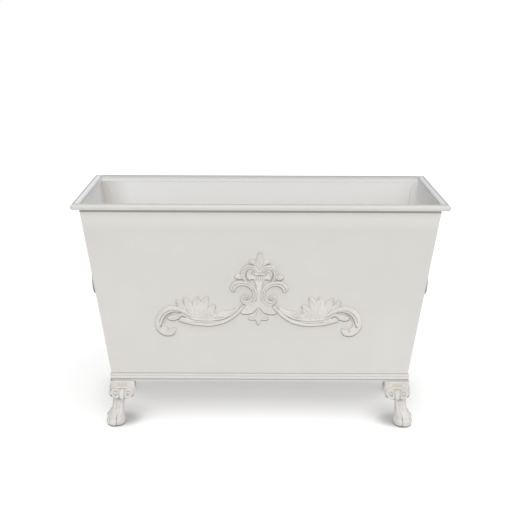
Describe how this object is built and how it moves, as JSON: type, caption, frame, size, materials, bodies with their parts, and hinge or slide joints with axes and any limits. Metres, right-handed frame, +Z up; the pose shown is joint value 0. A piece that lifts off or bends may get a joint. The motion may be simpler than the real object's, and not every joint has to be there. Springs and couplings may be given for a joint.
{
  "type": "trough planter",
  "caption": "Tapered sheet-metal trough planter with a rolled rim, moulded base, claw feet, applied scroll ornament and drop handles on its end walls.",
  "frame": {"origin": "middle of the footprint at floor level, under the soles of the feet", "axes": "+X along the length, to the right seen from the front; +Y from the front to the back; +Z up"},
  "size_m": [0.914, 0.406, 0.603],
  "materials": {
    "painted_sheet": "antique white paint, eggshell",
    "painted_casting": "antique white paint with a tan wash in the recesses",
    "painted_ornament": "antique white paint with a faint tan wash on the leaf tips",
    "steel_hardware": "zinc plated",
    "seam_sealant": "aged tan sealant, matt"
  },
  "bodies": {
    "trough": {"front_wall": "painted_sheet", "back_wall": "painted_sheet", "left_end_wall": "painted_sheet", "right_end_wall": "painted_sheet", "floor_panel": "painted_sheet", "corner_sealant": "seam_sealant", "rim_front": "painted_sheet", "rim_back": "painted_sheet", "rim_left": "painted_sheet", "rim_right": "painted_sheet", "moulding_front": "painted_sheet", "moulding_back": "painted_sheet", "moulding_left": "painted_sheet", "moulding_right": "painted_sheet", "frame_bar_front": "painted_sheet", "frame_bar_back": "painted_sheet", "frame_bar_left": "painted_sheet", "frame_bar_right": "painted_sheet", "floor_brace_left": "painted_sheet", "floor_brace_right": "painted_sheet", "foot_front_left": "painted_casting", "foot_front_right": "painted_casting", "foot_back_left": "painted_casting", "foot_back_right": "painted_casting", "foot_bolts": "steel_hardware", "foot_washers": "steel_hardware", "left_handle_plate": "painted_casting", "left_handle_rivets": "steel_hardware", "left_handle_pins": "steel_hardware", "right_handle_plate": "painted_casting", "right_handle_rivets": "steel_hardware", "right_handle_pins": "steel_hardware", "crest_front": "painted_ornament", "scroll_front_left": "painted_ornament", "scroll_front_right": "painted_ornament", "crest_back": "painted_ornament", "scroll_back_left": "painted_ornament", "scroll_back_right": "painted_ornament"},
    "left_handle": {"left_handle_bail": "painted_casting"},
    "right_handle": {"right_handle_bail": "painted_casting"}
  },
  "joints": [
    {"name": "left_handle_swing", "type": "hinge", "parent": "trough", "child": "left_handle", "pos_m": [-0.42932, 0, 0.43366], "axis": [0, 1, 0], "range_deg": [-7, 172]},
    {"name": "right_handle_swing", "type": "hinge", "parent": "trough", "child": "right_handle", "pos_m": [0.42932, 0, 0.43366], "axis": [0, -1, 0], "range_deg": [-7, 172]}
  ]
}
